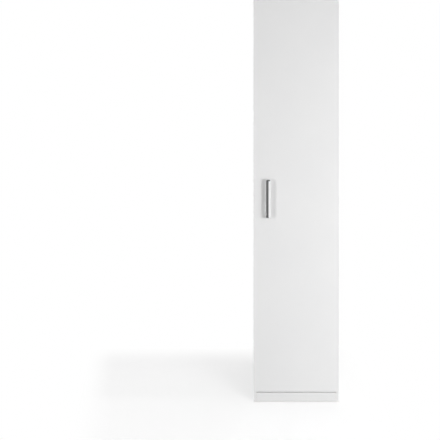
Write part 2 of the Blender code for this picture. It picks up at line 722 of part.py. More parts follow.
def cup_ear(direction):
    """A lug in the cup that carries one end of the pivot pin."""
    inner = direction * CUP_EAR_INNER_SIDE
    outer = direction * CUP_EAR_OUTER_SIDE
    x, y = cup_pivot_in_cup()
    floor = -CUP_DEPTH + CUP_WALL / 2
    top = y + HINGE_PIN_RADIUS + SEAT_GAP + CUP_EAR_RIM
    wall = math.sqrt((CUP_RADIUS - CUP_WALL / 2) ** 2 - CUP_EAR_OUTER_SIDE ** 2)
    outline = [(wall - CUP_EAR_LENGTH, floor), (wall, floor), (wall, top),
               (wall - CUP_EAR_LENGTH, top)]
    return prism_mesh("ear", outline, min(inner, outer), max(inner, outer))


def cup_pivot_in_cup():
    """The pivot's plan position from the cup's centre and the door's inner face."""
    return CUP_PIVOT.x - CUP_CENTRE_X, CUP_PIVOT.y + DOOR_GAP


def cup_mesh():
    """The cup, its lip with two screw wings, and the pair of lugs inside."""
    face = SEAT_GAP + CUP_FLANGE
    flange = prism_mesh("cup", as_plan(cup_flange_outline()), SEAT_GAP, face, "Y")
    body = new_object("hinge_cup", flange, (0, 0, 0))
    barrel = round_cutter((0, 0), CUP_RADIUS, -CUP_DEPTH, SEAT_GAP + CUP_FLANGE / 2, "Y", FINE_STEPS)
    combine(body, barrel, "UNION")
    combine(body, round_cutter((0, 0), CUP_RADIUS - CUP_WALL, -CUP_DEPTH + CUP_WALL,
                               face + CUT_OVERRUN, "Y", FINE_STEPS))
    for direction in (-1, 1):
        combine(body, cup_ear(direction), "UNION")
    bore = HINGE_PIN_RADIUS + SEAT_GAP
    depth = CUP_EAR_INNER_SIDE + CUP_EAR_BORE_DEPTH
    combine(body, round_cutter(cup_pivot_in_cup(), bore, -depth, depth, "Z", COARSE_STEPS))
    half = CUP_SCREW_SPACING / 2
    holes = [round_cutter((height, -CUP_WING_OFFSET), HINGE_SCREW_HOLE_RADIUS, -CUT_OVERRUN,
                          face + CUT_OVERRUN, "Y", COARSE_STEPS) for height in (-half, half)]
    combine(body, joined_mesh("cup_screw_holes", holes))
    return settled_mesh(body)


def arm_cheek_outline():
    """The side of the arm: its nose and rear pivot in front, a straight skirt behind."""
    skirt = ARM_SKIRT - ARM_HEIGHT
    points = [(skirt, ARM_LENGTH), (-ARM_HEIGHT, ARM_LENGTH), (-ARM_HEIGHT, ARM_SHOULDER)]
    points += arc(OUTER_PIVOT, ARM_NOSE_RADIUS, 180, 330, 2 * CORNER_STEPS)
    points += arc(INNER_PIVOT, ARM_PIVOT_RADIUS, -50, 0, CORNER_STEPS)
    points += [(INNER_PIVOT.x + ARM_PIVOT_RADIUS, ARM_WEB_START), (skirt, ARM_SKIRT_START)]
    return points


def arm_mesh():
    """A channel whose web faces into the cabinet; both pivots are held in its cheeks."""
    inner = ARM_INNER_HALF_WIDTH
    outer = ARM_OUTER_HALF_WIDTH
    body = new_object("hinge_arm", prism_mesh("arm", arm_cheek_outline(), -outer, outer), (0, 0, 0))
    web_face = ARM_WALL - ARM_HEIGHT
    channel = box_mesh("channel", (web_face, ARM_WEB_START - CUT_OVERRUN, -inner),
                       (CUT_OVERRUN, ARM_LENGTH + CUT_OVERRUN, inner))
    mouth_low = (-ARM_HEIGHT - CUT_OVERRUN, OUTER_PIVOT.y - ARM_NOSE_RADIUS - CUT_OVERRUN, -inner)
    mouth = box_mesh("mouth", mouth_low, (CUT_OVERRUN, ARM_WEB_START, inner))
    combine(body, channel)
    combine(body, mouth)
    for centre in (INNER_PIVOT, OUTER_PIVOT):
        combine(body, round_cutter(centre, HINGE_PIN_RADIUS + SEAT_GAP, -outer - CUT_OVERRUN,
                                   outer + CUT_OVERRUN, "Z", COARSE_STEPS))
    slots = [round_cutter((y, 0), ARM_SLOT_RADIUS, -ARM_HEIGHT - CUT_OVERRUN, web_face + CUT_OVERRUN,
                          "X", COARSE_STEPS) for y in arm_slot_places()]
    combine(body, joined_mesh("arm_slots", slots))
    return settled_mesh(body)


def arm_slot_places():
    return [ARM_WEB_START + ARM_SLOT_END_DISTANCE, ARM_LENGTH - ARM_SLOT_END_DISTANCE]


def plate_mesh():
    """A cross-shaped plate on the side panel, with the ridge that the arm straddles."""
    half = PLATE_WING_WIDTH / 2
    wings = rounded_rectangle((PLATE_WING_SETBACK - half, -PLATE_WING_HALF_LENGTH),
                              (PLATE_WING_SETBACK + half, PLATE_WING_HALF_LENGTH),
                              PLATE_WING_ROUNDING)
    flange_face = -SEAT_GAP - PLATE_FLANGE
    body = new_object("hinge_plate", prism_mesh("plate", wings, flange_face, -SEAT_GAP, "X"), (0, 0, 0))
    ridge_half = ARM_INNER_HALF_WIDTH - SEAT_GAP
    ridge_top = -ARM_HEIGHT + ARM_WALL + SEAT_GAP
    edge = PLATE_RIDGE_EDGE
    foot = -SEAT_GAP - PLATE_FLANGE / 2
    ridge = [(foot, -ridge_half), (foot, ridge_half), (ridge_top + edge, ridge_half),
             (ridge_top, ridge_half - edge), (ridge_top, edge - ridge_half),
             (ridge_top + edge, -ridge_half)]
    ridge = [(z, x) for x, z in ridge]
    combine(body, prism_mesh("ridge", ridge, PLATE_RIDGE_START, PLATE_RIDGE_END, "Y"), "UNION")
    half_spacing = PLATE_SCREW_SPACING / 2
    holes = [round_cutter((PLATE_WING_SETBACK, height), HINGE_SCREW_HOLE_RADIUS,
                          flange_face - CUT_OVERRUN, CUT_OVERRUN, "X", COARSE_STEPS)
             for height in (-half_spacing, half_spacing)]
    combine(body, joined_mesh("plate_screw_holes", holes))
    return settled_mesh(body)


def plan_point(point, height=0):
    """A world place from hinge plan coordinates."""
    return Vector((INNER_HALF_WIDTH + point[0], FRONT_Y + point[1], height))


def make_hinges(finish, axes):
    """Four concealed hinges, one above the other on the same two link axes."""
    ear_end = CUP_EAR_INNER_SIDE + CUP_EAR_BORE_DEPTH - SEAT_GAP
    inner_outline = link_outline(INNER_PIVOT, REAR_EYE_RADIUS, CUP_PIVOT, INNER_LINK_SHARES)
    outer_outline = link_outline(OUTER_PIVOT, NOSE_EYE_RADIUS, OUTER_LINK_END, OUTER_LINK_SHARES)
    meshes = {
        "cup": cup_mesh(),
        "inner_link": link_mesh("hinge_inner_link", inner_outline, INNER_PIVOT, CUP_PIVOT, -1,
                                ARM_OUTER_HALF_WIDTH, ear_end),
        "outer_link": link_mesh("hinge_outer_link", outer_outline, OUTER_PIVOT, OUTER_LINK_END, 1,
                                ARM_OUTER_HALF_WIDTH, LINK_OUTER_SIDE + CUP_EAR_CLEARANCE / 2),
        "arm": arm_mesh(),
        "plate": plate_mesh(),
    }
    cup_place = Vector((CUP_CENTRE_X, -DOOR_GAP))
    places = {"cup": cup_place, "inner_link": (0, 0), "outer_link": (0, 0), "arm": (0, 0),
              "plate": (0, 0)}
    for number, height in enumerate(hinge_heights(), 1):
        for piece, mesh in meshes.items():
            new_object(f"hinge_{number}_{piece}", mesh, plan_point(places[piece], height),
                       finish, axes.get(piece))


def build():
    remove_everything()
    white = material("white_board", (0.86, 0.86, 0.86), 0.45, 0.0)
    back_white = material("white_hardboard", (0.82, 0.82, 0.81), 0.55, 0.0)
    chrome = material("bright_chrome", (0.78, 0.78, 0.79), 0.12, 1.0)
    steel = material("nickel_steel", (0.66, 0.65, 0.63), 0.30, 1.0)
    plastic = material("white_plastic", (0.80, 0.80, 0.79), 0.40, 0.0)
    rubber = material("clear_rubber", (0.72, 0.72, 0.70), 0.50, 0.0)
    link_axis = axis_empty("inner_link_axis", plan_point(INNER_PIVOT))
    outer_axis = axis_empty("outer_link_axis", plan_point(OUTER_PIVOT))
    door_axis = axis_empty("door_axis", plan_point(CUP_PIVOT))
    make_side_panel("side_panel_left", -1, white)
    make_side_panel("side_panel_right", 1, white)
    make_cross_panels(white)
    make_back(back_white, plastic)
    make_shelves(white, steel)
    make_glides(plastic)
    make_door(white, door_axis)
    make_bumpers(rubber, door_axis)
    make_handle(chrome, door_axis)
    make_handle_screws(steel, door_axis)
    make_hinges(steel, {"cup": door_axis, "inner_link": link_axis, "outer_link": outer_axis})


build()
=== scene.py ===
"""Tall one-door storage cabinet: materials, small fittings, studio light and camera.

Lengths are in metres. The cabinet's front faces -Y, and the floor is at Z = 0.
"""

import math

import bmesh
import bpy
from mathutils import Matrix, Vector


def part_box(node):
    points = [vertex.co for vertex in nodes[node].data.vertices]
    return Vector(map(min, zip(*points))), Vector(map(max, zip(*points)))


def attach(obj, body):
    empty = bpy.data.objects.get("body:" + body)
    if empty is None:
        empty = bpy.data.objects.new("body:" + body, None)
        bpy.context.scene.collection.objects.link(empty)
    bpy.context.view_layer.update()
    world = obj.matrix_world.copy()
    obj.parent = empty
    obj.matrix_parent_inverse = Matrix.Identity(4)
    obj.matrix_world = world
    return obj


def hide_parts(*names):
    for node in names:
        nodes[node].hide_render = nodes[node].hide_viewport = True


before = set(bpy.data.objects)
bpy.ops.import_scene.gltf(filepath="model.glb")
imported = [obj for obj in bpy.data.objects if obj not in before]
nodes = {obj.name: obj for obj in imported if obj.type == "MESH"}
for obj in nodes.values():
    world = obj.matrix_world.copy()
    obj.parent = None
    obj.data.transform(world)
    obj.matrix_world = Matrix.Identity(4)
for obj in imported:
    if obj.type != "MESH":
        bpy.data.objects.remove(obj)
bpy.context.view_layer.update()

door_low, door_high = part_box("door_panel")
handle_low, handle_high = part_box("handle")
carcass_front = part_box("side_panel_left")[0].y


# Notation for node trees
WHITE = (1.0, 1.0, 1.0)
SEEN_RAYS = ("Is Camera Ray", "Is Glossy Ray", "Is Transmission Ray")
# Sockets of the Mix node that carry colours, which share their names with others
MIX_FACTOR, MIX_FIRST, MIX_SECOND, MIX_RESULT = 0, 6, 7, 2
# Where most values of a noise texture lie
NOISE_SPAN = (0.3, 0.7)


class Graph:
    """Short notation for one node tree. Each input takes a socket or a plain value."""

    def __init__(self, tree):
        self.tree = tree
        tree.nodes.clear()

    def put(self, socket, value):
        """Link or set an input. A colour of three values is given its fourth here."""
        if isinstance(value, bpy.types.NodeSocket):
            self.tree.links.new(value, socket)
        elif isinstance(value, tuple) and socket.type == "RGBA":
            socket.default_value = (*value, 1.0)
        else:
            socket.default_value = value

    def add(self, kind, inputs=None, output=0, **settings):
        """Add a node with these inputs and settings, and return one of its outputs."""
        node = self.tree.nodes.new(kind)
        for key, value in settings.items():
            setattr(node, key, value)
        for key, value in (inputs or {}).items():
            self.put(node.inputs[key], value)
        return node.outputs[output]

    def math(self, operation, a, b=0.0):
        return self.add("ShaderNodeMath", {0: a, 1: b}, operation=operation)

    def chain(self, operation, values):
        """Join values one after another by a math operation."""
        joined, *others = values
        for value in others:
            joined = self.math(operation, joined, value)
        return joined

    def ramp(self, value, span, ends=(0.0, 1.0)):
        """A smooth step from one end to the other while the value crosses the span."""
        return self.add("ShaderNodeMapRange",
                        {"Value": value, "From Min": span[0], "From Max": span[1],
                         "To Min": ends[0], "To Max": ends[1]},
                        interpolation_type="SMOOTHSTEP")

    def mix(self, factor, first, second):
        """The first colour where the factor is 0, and the second where it is 1."""
        return self.add("ShaderNodeMix", {MIX_FACTOR: factor, MIX_FIRST: first, MIX_SECOND: second},
                        MIX_RESULT, data_type="RGBA")

    def blend(self, value, first, second, span=NOISE_SPAN):
        """The first colour below the span of the value, and the second above it."""
        return self.mix(self.ramp(value, span), first, second)

    def noise(self, place, scale, detail=2.0, roughness=0.5):
        return self.add("ShaderNodeTexNoise", {"Vector": place, "Scale": scale, "Detail": detail,
                                               "Roughness": roughness})

    def cells(self, place, scale, output="Color"):
        return self.add("ShaderNodeTexVoronoi", {"Vector": place, "Scale": scale}, output)

    def stretched(self, place, factors):
        """The place times a factor for each axis, of which the least draws a texture out most."""
        return self.add("ShaderNodeVectorMath", {0: place, 1: factors}, operation="MULTIPLY")

    def place(self):
        """The point's place in the shared frame."""
        return self.add("ShaderNodeTexCoord", output="Object")

    def split(self, vector):
        """The vector's parts X, Y and Z."""
        return self.add("ShaderNodeSeparateXYZ", {0: vector}).node.outputs

    def seen(self):
        """1 for rays whose hit shows in the picture, directly or mirrored, and 0 for light."""
        rays = self.add("ShaderNodeLightPath").node.outputs
        return self.chain("MAXIMUM", [rays[kind] for kind in SEEN_RAYS])

    def relief(self, height, distance):
        return self.add("ShaderNodeBump", {"Height": height, "Distance": distance, "Strength": 1.0})

    def glow(self, strength):
        return self.add("ShaderNodeEmission", {"Color": WHITE, "Strength": strength})

    def matt(self, grey):
        return self.add("ShaderNodeBsdfDiffuse", {"Color": (grey, grey, grey)})

    def choose(self, factor, first, second):
        """The first shader where the factor is 0, and the second where it is 1."""
        return self.add("ShaderNodeMixShader", {0: factor, 1: first, 2: second})

    def surface(self, shader, target="ShaderNodeOutputMaterial"):
        """End the tree in this shader."""
        output = self.tree.nodes.new(target)
        self.tree.links.new(shader, output.inputs["Surface"])

    def principled(self, **inputs):
        """End the tree in a Principled shader, whose inputs are named with _ for each space."""
        named = {key.replace("_", " "): value for key, value in inputs.items()}
        self.surface(self.add("ShaderNodeBsdfPrincipled", named))


def new_material(name):
    """A material and the notation for its node tree."""
    made = bpy.data.materials.new(name)
    made.use_nodes = True
    return made, Graph(made.node_tree)


# Materials. A texture's scale is in cells per metre, and a pair is the range of a value.
# Boards: white melamine on chipboard
MELAMINE = (0.86, 0.86, 0.86)
MELAMINE_SHADE = (0.845, 0.846, 0.848)
MELAMINE_CLOUD = {"scale": 3.0, "detail": 3.0}
MELAMINE_SHEEN = {"scale": 9.0, "detail": 4.0}
MELAMINE_ROUGHNESS = (0.41, 0.48)
PEARL = {"scale": 1300.0, "detail": 2.0, "roughness": 0.6}
PEARL_HEIGHT = 0.25
BAND_SEAM = (0.70, 0.69, 0.67)
BAND_SEAM_TINT = 0.5
BAND_THICKNESS = 0.0010
SEAM_HALF_WIDTH = 0.00015
CHIP_LIGHT = (0.60, 0.46, 0.29)
CHIP_DARK = (0.33, 0.22, 0.13)
CHIP_SPECK = (0.72, 0.60, 0.42)
CHIP_SPECK_SPAN = (0.78, 0.95)
CHIP_SCALE = 420.0
CHIP_HEIGHT = 8.0
CHIP_ADDED_ROUGHNESS = 0.4
BOARD_RELIEF = 0.00003
FACE_DEPTH = 0.0005


def box_distances(graph, place, low, high):
    """How far a point lies inside each face of a box, keyed such as x- and x+."""
    parts = graph.split(place)
    inside = {}
    for index, axis in enumerate("xyz"):
        inside[axis + "-"] = graph.math("SUBTRACT", parts[index], low[index])
        inside[axis + "+"] = graph.math("SUBTRACT", high[index], parts[index])
    return inside


def chipboard(graph, place):
    """Colour and height of the pressed chips in a board's core."""
    chips = graph.cells(place, CHIP_SCALE)
    parts = graph.add("ShaderNodeSeparateColor", {0: chips}).node.outputs
    colour = graph.mix(parts["Red"], CHIP_DARK, CHIP_LIGHT)
    colour = graph.blend(parts["Green"], colour, CHIP_SPECK, CHIP_SPECK_SPAN)
    return colour, graph.cells(place, CHIP_SCALE, "Distance")


def board_material(name, thin_axis, raw_edges):
    """White faces, banded edges with a fine seam, and bare core in cuts and on raw edges."""
    low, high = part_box(name)
    made, graph = new_material("melamine_" + name)
    place = graph.place()
    inside = box_distances(graph, place, low, high)
    axis_depth = {axis: graph.math("MINIMUM", inside[axis + "-"], inside[axis + "+"]) for axis in "xyz"}
    bare = graph.math("GREATER_THAN", graph.chain("MINIMUM", axis_depth.values()), FACE_DEPTH)
    in_core = graph.math("GREATER_THAN", axis_depth[thin_axis], FACE_DEPTH)
    for edge in raw_edges:
        on_edge = graph.math("LESS_THAN", inside[edge], FACE_DEPTH)
        bare = graph.math("MAXIMUM", bare, graph.math("MULTIPLY", on_edge, in_core))

    colour = graph.blend(graph.noise(place, **MELAMINE_CLOUD), MELAMINE_SHADE, MELAMINE)
    height = graph.math("MULTIPLY", graph.noise(place, **PEARL), PEARL_HEIGHT)
    banded = [depth for edge, depth in inside.items() if edge[0] != thin_axis and edge not in raw_edges]
    if banded:
        off_seam = graph.math("SUBTRACT", graph.chain("MINIMUM", banded), BAND_THICKNESS)
        in_seam = graph.math("LESS_THAN", graph.math("ABSOLUTE", off_seam), SEAM_HALF_WIDTH)
        on_face = graph.math("LESS_THAN", axis_depth[thin_axis], FACE_DEPTH)
        seam = graph.math("MULTIPLY", in_seam, on_face)
        colour = graph.mix(graph.math("MULTIPLY", seam, BAND_SEAM_TINT), colour, BAND_SEAM)
        height = graph.math("SUBTRACT", height, seam)

    chip_colour, chip_height = chipboard(graph, place)
    chips = graph.chain("MULTIPLY", (chip_height, CHIP_HEIGHT, bare))
    sheen = graph.ramp(graph.noise(place, **MELAMINE_SHEEN), NOISE_SPAN, MELAMINE_ROUGHNESS)
    dulling = graph.math("MULTIPLY", bare, CHIP_ADDED_ROUGHNESS)
    graph.principled(Base_Color=graph.mix(bare, colour, chip_colour),
                     Roughness=graph.math("ADD", sheen, dulling),
                     Normal=graph.relief(graph.math("ADD", height, chips), BOARD_RELIEF))
    return made


# Hardboard backs: white lacquer in front, bare pressed fibre behind
LACQUER = (0.83, 0.83, 0.82)
LACQUER_SHADE = (0.80, 0.80, 0.79)
LACQUER_GRAIN = {"scale": 1300.0}
LACQUER_HEIGHT = 0.3
HARDBOARD_CLOUD = {"scale": 5.0, "detail": 4.0}
HARDBOARD_ROUGHNESS = (0.52, 0.82)
HARDBOARD_RELIEF = 0.00004
FIBRE_DARK = (0.21, 0.125, 0.07)
FIBRE_LIGHT = (0.40, 0.27, 0.165)
FIBRE = {"scale": 260.0, "detail": 6.0, "roughness": 0.7}
FIBRE_STRETCH = (1.0, 1.0, 0.35)
FIBRE_SPAN = (0.32, 0.68)
PATCH = (0.46, 0.33, 0.21)
PATCH_SPAN = (0.35, 0.65)
PATCH_TINT = (0.0, 0.25)
MESH_PRINT_SCALE = 700.0
MESH_PRINT_HEIGHT = 3.0


def hardboard_material(name):
    """White lacquer inside, bare pressed fibre on the rear and the edges."""
    low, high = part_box(name)
    made, graph = new_material("hardboard_" + name)
    place = graph.place()
    inside = box_distances(graph, place, low, high)
    rear = graph.math("GREATER_THAN", inside["y-"], FACE_DEPTH)
    cloud = graph.noise(place, **HARDBOARD_CLOUD)
    front = graph.blend(cloud, LACQUER_SHADE, LACQUER)
    fibre = graph.noise(graph.stretched(place, FIBRE_STRETCH), **FIBRE)
    brown = graph.blend(fibre, FIBRE_DARK, FIBRE_LIGHT, FIBRE_SPAN)
    brown = graph.mix(graph.ramp(cloud, PATCH_SPAN, PATCH_TINT), brown, PATCH)
    mesh_print = graph.chain("MULTIPLY", (graph.cells(place, MESH_PRINT_SCALE, "Distance"),
                                          MESH_PRINT_HEIGHT, rear))
    grain = graph.math("MULTIPLY", graph.noise(place, **LACQUER_GRAIN), LACQUER_HEIGHT)
    graph.principled(Base_Color=graph.mix(rear, front, brown),
                     Roughness=graph.ramp(rear, (0.0, 1.0), HARDBOARD_ROUGHNESS),
                     Normal=graph.relief(graph.math("ADD", grain, mesh_print), HARDBOARD_RELIEF))
    return made


# Chrome
CHROME = (0.87, 0.87, 0.88)
CHROME_SMUDGED = (0.83, 0.83, 0.845)
CHROME_TONE_SPAN = (0.4, 0.8)
CHROME_SMUDGE = {"scale": 45.0, "detail": 5.0, "roughness": 0.6}
CHROME_SMUDGE_SPAN = (0.35, 0.75)
CHROME_ROUGHNESS = (0.055, 0.12)
CHROME_GRAIN = {"scale": 2400.0, "detail": 1.0}
CHROME_RELIEF = 0.0000004


def chrome_material():
    """Polished chrome, a little duller and darker in its smudges."""
    made, graph = new_material("chrome_polished")
    place = graph.place()
    smudge = graph.noise(place, **CHROME_SMUDGE)
    graph.principled(Base_Color=graph.blend(smudge, CHROME, CHROME_SMUDGED, CHROME_TONE_SPAN),
                     Metallic=1.0,
                     Roughness=graph.ramp(smudge, CHROME_SMUDGE_SPAN, CHROME_ROUGHNESS),
                     Normal=graph.relief(graph.noise(place, **CHROME_GRAIN), CHROME_RELIEF))
    return made


# Plated steel
STEEL_CLOUD = {"scale": 160.0, "detail": 4.0, "roughness": 0.6}
STEEL_GRAIN = {"scale": 2600.0, "detail": 3.0, "roughness": 0.6}
STEEL_GRAIN_SHARE = 0.5
STEEL_WEAR_SPAN = (0.5, 1.0)
STEEL_ROUGHNESS = (0.25, 0.30)
STEEL_RELIEF = 0.000006


def steel_material(name, bright, dull, brushed):
    """Plated steel with tumbling marks, drawn out along the axis with the least factor."""
    made, graph = new_material(name)
    place = graph.place()
    cloud = graph.noise(place, **STEEL_CLOUD)
    grain = graph.noise(graph.stretched(place, brushed), **STEEL_GRAIN)
    wear = graph.math("ADD", cloud, graph.math("MULTIPLY", grain, STEEL_GRAIN_SHARE))
    graph.principled(Base_Color=graph.blend(cloud, dull, bright), Metallic=1.0,
                     Roughness=graph.ramp(wear, STEEL_WEAR_SPAN, STEEL_ROUGHNESS),
                     Normal=graph.relief(grain, STEEL_RELIEF))
    return made


# Plastic
PLASTIC_CLOUD = {"scale": 60.0, "detail": 4.0}
PLASTIC_GRAIN = {"scale": 1800.0, "detail": 2.0}
PLASTIC_RELIEF = 0.00003


def plastic_material(name, bright, dull, roughness):
    """Moulded plastic with a fine grain."""
    made, graph = new_material(name)
    place = graph.place()
    cloud = graph.noise(place, **PLASTIC_CLOUD)
    graph.principled(Base_Color=graph.blend(cloud, dull, bright),
                     Roughness=graph.ramp(cloud, NOISE_SPAN, roughness),
                     Normal=graph.relief(graph.noise(place, **PLASTIC_GRAIN), PLASTIC_RELIEF))
    return made


# Rubber
RUBBER = (0.76, 0.76, 0.74)
RUBBER_SHADE = (0.68, 0.68, 0.66)
RUBBER_CLOUD = {"scale": 400.0, "detail": 3.0}
RUBBER_ROUGHNESS = (0.38, 0.55)
RUBBER_CLEARNESS = 0.35
RUBBER_IOR = 1.42
RUBBER_RELIEF = 0.00004


def rubber_material():
    """Soft rubber that lets some light through."""
    made, graph = new_material("bumper_translucent")
    cloud = graph.noise(graph.place(), **RUBBER_CLOUD)
    graph.principled(Base_Color=graph.blend(cloud, RUBBER_SHADE, RUBBER),
                     Roughness=graph.ramp(cloud, NOISE_SPAN, RUBBER_ROUGHNESS),
                     Transmission_Weight=RUBBER_CLEARNESS, IOR=RUBBER_IOR,
                     Normal=graph.relief(cloud, RUBBER_RELIEF))
    return made


chrome = chrome_material()
hinge_steel = steel_material("hinge_nickel", (0.81, 0.80, 0.78), (0.785, 0.775, 0.755), (1.0, 0.12, 1.0))
pin_steel = steel_material("pin_nickel", (0.78, 0.77, 0.75), (0.70, 0.69, 0.67), (1.0, 0.5, 0.5))
screw_steel = steel_material("screw_zinc", (0.80, 0.80, 0.79), (0.70, 0.70, 0.70), (0.6, 0.6, 0.6))
white_plastic = plastic_material("white_plastic", (0.81, 0.81, 0.80), (0.78, 0.78, 0.77), (0.36, 0.46))
glide_plastic = plastic_material("glide_plastic", (0.74, 0.74, 0.72), (0.66, 0.66, 0.64), (0.42, 0.58))
rubber = rubber_material()

# Each board's thin axis and its edges without a band
UPRIGHT_BOARD = ("x", ("y+", "z-"))
LEVEL_BOARD = ("z", ("x-", "x+", "y+"))
BOARDS = {
    "side_panel_left": UPRIGHT_BOARD,
    "side_panel_right": UPRIGHT_BOARD,
    "top_panel": LEVEL_BOARD,
    "bottom_panel": LEVEL_BOARD,
    "middle_shelf": LEVEL_BOARD,
    "plinth_front": ("y", ("x-", "x+", "z-")),
    "plinth_rear": ("y", ("x-", "x+", "z-", "z+")),
    "shelf_1": LEVEL_BOARD,
    "shelf_2": LEVEL_BOARD,
    "shelf_3": LEVEL_BOARD,
    "shelf_4": LEVEL_BOARD,
    "door_panel": ("y", ()),
}
# The other nodes by a part of their names, of which the first that fits counts
FINISHES = (
    ("back_panel_joiner", white_plastic),
    ("floor_glide", glide_plastic),
    ("door_bumper", rubber),
    ("handle_screw", screw_steel),
    ("handle", chrome),
    ("_pin_", pin_steel),
    ("hinge_", hinge_steel),
)


def finish_for(name):
    """The material of a CAD node."""
    if name in BOARDS:
        return board_material(name, *BOARDS[name])
    if name in ("back_panel_lower", "back_panel_upper"):
        return hardboard_material(name)
    return next(material for part, material in FINISHES if part in name)


# Shading. Edges that turn by more than this angle in degrees stay sharp
WELD_DISTANCE = 0.00001
SHARP_ANGLE = 38.0


def welding_group():
    """Joins a faceted node's loose faces and shades them smooth between the sharp edges."""
    group = bpy.data.node_groups.new("weld_and_smooth", "GeometryNodeTree")
    for in_out in ("INPUT", "OUTPUT"):
        group.interface.new_socket("Geometry", in_out=in_out, socket_type="NodeSocketGeometry")
    start = group.nodes.new("NodeGroupInput")
    end = group.nodes.new("NodeGroupOutput")
    drop = group.nodes.new("GeometryNodeRemoveAttribute")
    drop.inputs["Name"].default_value = "custom_normal"
    weld = group.nodes.new("GeometryNodeMergeByDistance")
    weld.inputs["Distance"].default_value = WELD_DISTANCE
    faces = group.nodes.new("GeometryNodeSetShadeSmooth")
    faces.domain = "FACE"
    faces.inputs["Shade Smooth"].default_value = True
    angle = group.nodes.new("GeometryNodeInputMeshEdgeAngle")
    flat = group.nodes.new("FunctionNodeCompare")
    flat.operation = "LESS_THAN"
    flat.inputs[1].default_value = math.radians(SHARP_ANGLE)
    edges = group.nodes.new("GeometryNodeSetShadeSmooth")
    edges.domain = "EDGE"
    link = group.links.new
    link(start.outputs[0], drop.inputs["Geometry"])
    link(drop.outputs[0], weld.inputs["Geometry"])
    link(weld.outputs[0], faces.inputs["Geometry"])
    link(faces.outputs[0], edges.inputs["Geometry"])
    link(angle.outputs["Unsigned Angle"], flat.inputs[0])
    link(flat.outputs[0], edges.inputs["Shade Smooth"])
    link(edges.outputs[0], end.inputs[0])
    return group


smoothing = welding_group()
for name, node in nodes.items():
    node.data.materials.clear()
    node.data.materials.append(finish_for(name))
    node.modifiers.new("weld", "NODES").node_group = smoothing
    even = node.modifiers.new("even", "WEIGHTED_NORMAL")
    even.keep_sharp = True


# Meshes and pieces
def sweep(start, end, steps):
    """Directions (cosine, sine) at even steps from one angle in degrees to another, ends included."""
    angles = [math.radians(start + (end - start) * step / steps) for step in range(steps + 1)]
    return [(math.cos(angle), math.sin(angle)) for angle in angles]


def circle(steps):
    """Directions at even steps all the way round."""
    return sweep(0, 360, steps)[:-1]


def lofted(name, rings):
    """A closed mesh through rings of equally many points, with a face over each end."""
    count = len(rings[0])
    end = len(rings) * count
    faces = [tuple(reversed(range(count))), tuple(range(end - count, end))]
    for first in range(0, end - count, count):
        for index in range(count):
            following = (index + 1) % count
            faces.append((first + index, first + following,
                          first + count + following, first + count + index))
    mesh = bpy.data.meshes.new(name)
    mesh.from_pydata([point for ring in rings for point in ring], [], faces)
    return mesh


def extruded(name, outline, left, right):
    """A prism along X from an outline of (y, z) pairs."""
    return lofted(name, [[(x, y, z) for y, z in outline] for x in (left, right)])


def turned(profile, steps):
    """A solid of revolution about Z from (radius, height) pairs that start and end on the axis."""
    work = bmesh.new()
    rings = []
    for radius, height in profile:
        directions = circle(steps) if radius > 0 else [(0.0, 0.0)]
        rings.append([work.verts.new((radius * across, radius * along, height))
                      for across, along in directions])
    for lower, upper in zip(rings, rings[1:]):
        for step in range(steps):
            corners = [lower[step % len(lower)], lower[(step + 1) % len(lower)],
                       upper[(step + 1) % len(upper)], upper[step % len(upper)]]
            work.faces.new(list(dict.fromkeys(corners)))
    mesh = bpy.data.meshes.new("turned")
    work.to_mesh(mesh)
    work.free()
    return mesh


def cut(mesh, cutter_mesh):
    """The mesh with the cutter taken out of it."""
    collection = bpy.context.scene.collection
    body = bpy.data.objects.new("body", mesh)
    tool = bpy.data.objects.new("tool", cutter_mesh)
    collection.objects.link(body)
    collection.objects.link(tool)
    change = body.modifiers.new("cut", "BOOLEAN")
    change.operation = "DIFFERENCE"
    change.solver = "EXACT"
    change.object = tool
    bpy.context.view_layer.update()
    made = bpy.data.meshes.new_from_object(body.evaluated_get(bpy.context.evaluated_depsgraph_get()))
    bpy.data.objects.remove(body, do_unlink=True)
    bpy.data.objects.remove(tool, do_unlink=True)
    return made


def facing(direction, place, turn=0.0):
    """A matrix that stands a mesh's Z along a direction at a place, turned about itself in degrees."""
    stand = Vector(direction).to_track_quat("Z", "Y").to_matrix().to_4x4()
    return Matrix.Translation(place) @ stand @ Matrix.Rotation(math.radians(turn), 4, "Z")


def new_piece(name, mesh, material, body):
    """A piece with outward normals, smooth shading between sharp edges, and one material."""
    work = bmesh.new()
    work.from_mesh(mesh)
    bmesh.ops.recalc_face_normals(work, faces=work.faces)
    work.to_mesh(mesh)
    work.free()
    mesh.shade_smooth()
    mesh.set_sharp_from_angle(angle=math.radians(SHARP_ANGLE))
    mesh.materials.clear()
    mesh.materials.append(material)
    made = bpy.data.objects.new(name, mesh)
    bpy.context.scene.collection.objects.link(made)
    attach(made, body)
    return made


def cluster(name, mesh, places, material, body):
    """One piece made of copies of a small mesh, each moved by a matrix."""
    work = bmesh.new()
    for place in places:
        copy = mesh.copy()
        copy.transform(place)
        work.from_mesh(copy)
        bpy.data.meshes.remove(copy)
    made = bpy.data.meshes.new(name)
    work.to_mesh(made)
    work.free()
    new_piece(name, made, material, body)


# Handle, as in the CAD source, with finer steps
HANDLE_HOLE_SPACING = 0.224
HANDLE_WIDTH = 0.026
HANDLE_PROJECTION = 0.030
HANDLE_FRONT_BULGE = 0.0040
HANDLE_BACK_BULGE = 0.0030
HANDLE_BEND_RADIUS = 0.016
HANDLE_SECTION_ROUNDNESS = 2.6
HANDLE_BEND_STEPS = 32
HANDLE_SECTION_STEPS = 64
HANDLE_STRAIGHT_STEPS = 12
HANDLE_SEAT_GAP = 0.0003


